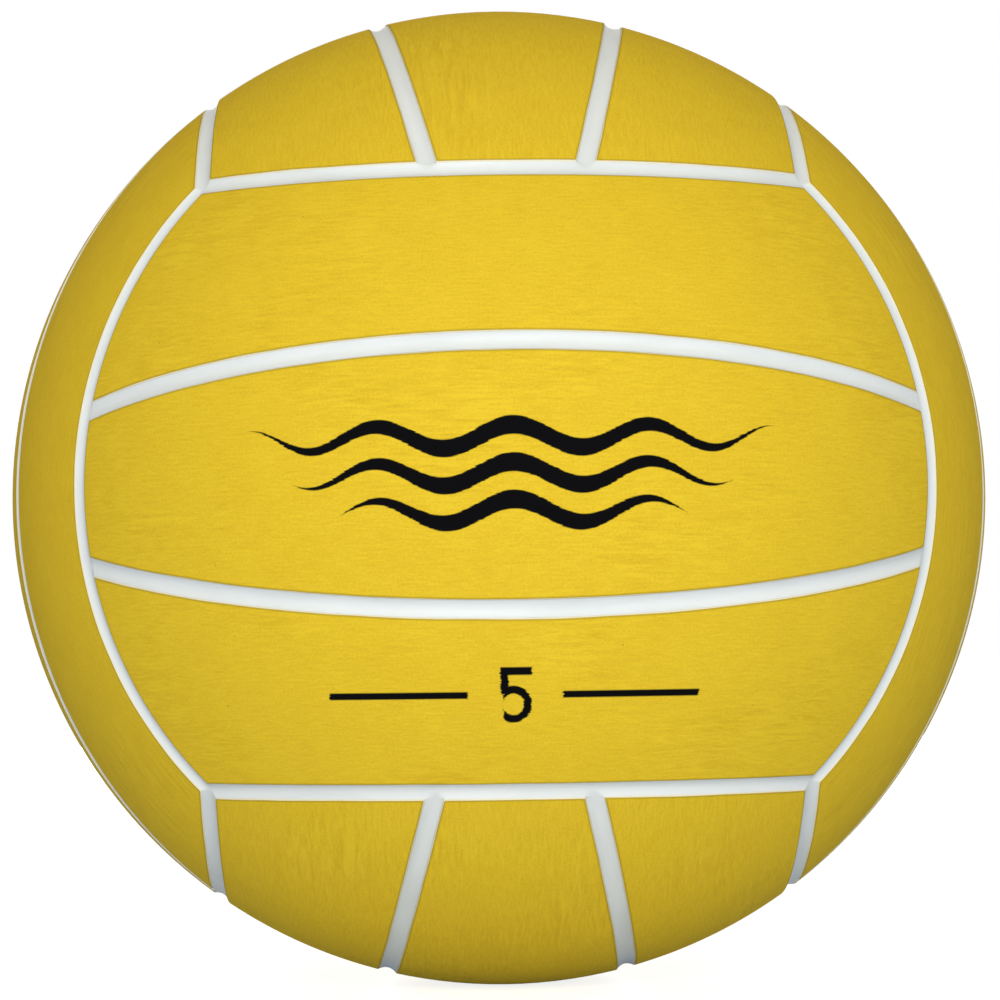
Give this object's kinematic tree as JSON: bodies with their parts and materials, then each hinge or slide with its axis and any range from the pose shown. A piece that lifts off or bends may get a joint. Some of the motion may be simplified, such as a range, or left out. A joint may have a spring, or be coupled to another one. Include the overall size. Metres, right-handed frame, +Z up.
{
  "type": "water polo ball",
  "caption": "Round rubber-covered water polo ball with banded panels, recessed white seams, wound carcass, bladder and needle valve.",
  "frame": {"origin": "centre of the ball", "axes": "+Z up, -Y the front face as pictured, -Z out through the inflation valve"},
  "size_m": [0.22, 0.22, 0.2199],
  "materials": {
    "yellow_rubber_cover": "matte, fine grain along each panel",
    "white_seam_rubber": "satin",
    "carcass_rubber": "matte",
    "nylon_thread": "wound thread set in latex",
    "butyl_rubber": "satin",
    "valve_rubber": "satin"
  },
  "bodies": {
    "ball": {"panel_front_bottom": "yellow_rubber_cover", "panel_front_middle": "yellow_rubber_cover", "panel_front_top": "yellow_rubber_cover", "panel_back_bottom": "yellow_rubber_cover", "panel_back_middle": "yellow_rubber_cover", "panel_back_top": "yellow_rubber_cover", "panel_top_left": "yellow_rubber_cover", "panel_top_middle": "yellow_rubber_cover", "panel_top_right": "yellow_rubber_cover", "panel_bottom_left": "yellow_rubber_cover", "panel_bottom_middle": "yellow_rubber_cover", "panel_bottom_right": "yellow_rubber_cover", "panel_left_front": "yellow_rubber_cover", "panel_left_middle": "yellow_rubber_cover", "panel_left_back": "yellow_rubber_cover", "panel_right_front": "yellow_rubber_cover", "panel_right_middle": "yellow_rubber_cover", "panel_right_back": "yellow_rubber_cover", "edge_seam_front_bottom": "white_seam_rubber", "inner_seam_front_bottom": "white_seam_rubber", "edge_seam_front_top": "white_seam_rubber", "inner_seam_front_top": "white_seam_rubber", "edge_seam_back_bottom": "white_seam_rubber", "inner_seam_back_bottom": "white_seam_rubber", "edge_seam_back_top": "white_seam_rubber", "inner_seam_back_top": "white_seam_rubber", "edge_seam_top_left": "white_seam_rubber", "inner_seam_top_left": "white_seam_rubber", "edge_seam_top_right": "white_seam_rubber", "inner_seam_top_right": "white_seam_rubber", "edge_seam_bottom_left": "white_seam_rubber", "inner_seam_bottom_left": "white_seam_rubber", "edge_seam_bottom_right": "white_seam_rubber", "inner_seam_bottom_right": "white_seam_rubber", "edge_seam_left_front": "white_seam_rubber", "inner_seam_left_front": "white_seam_rubber", "edge_seam_left_back": "white_seam_rubber", "inner_seam_left_back": "white_seam_rubber", "edge_seam_right_front": "white_seam_rubber", "inner_seam_right_front": "white_seam_rubber", "edge_seam_right_back": "white_seam_rubber", "inner_seam_right_back": "white_seam_rubber", "carcass": "carcass_rubber", "thread_winding": "nylon_thread", "bladder": "butyl_rubber", "valve_boot": "butyl_rubber"},
    "valve_plug": {"valve_plug": "valve_rubber"}
  },
  "joints": [
    {"name": "valve_plug_pull", "type": "slide", "parent": "ball", "child": "valve_plug", "axis": [0, 0, -1], "range_m": [0, 0.025]}
  ]
}
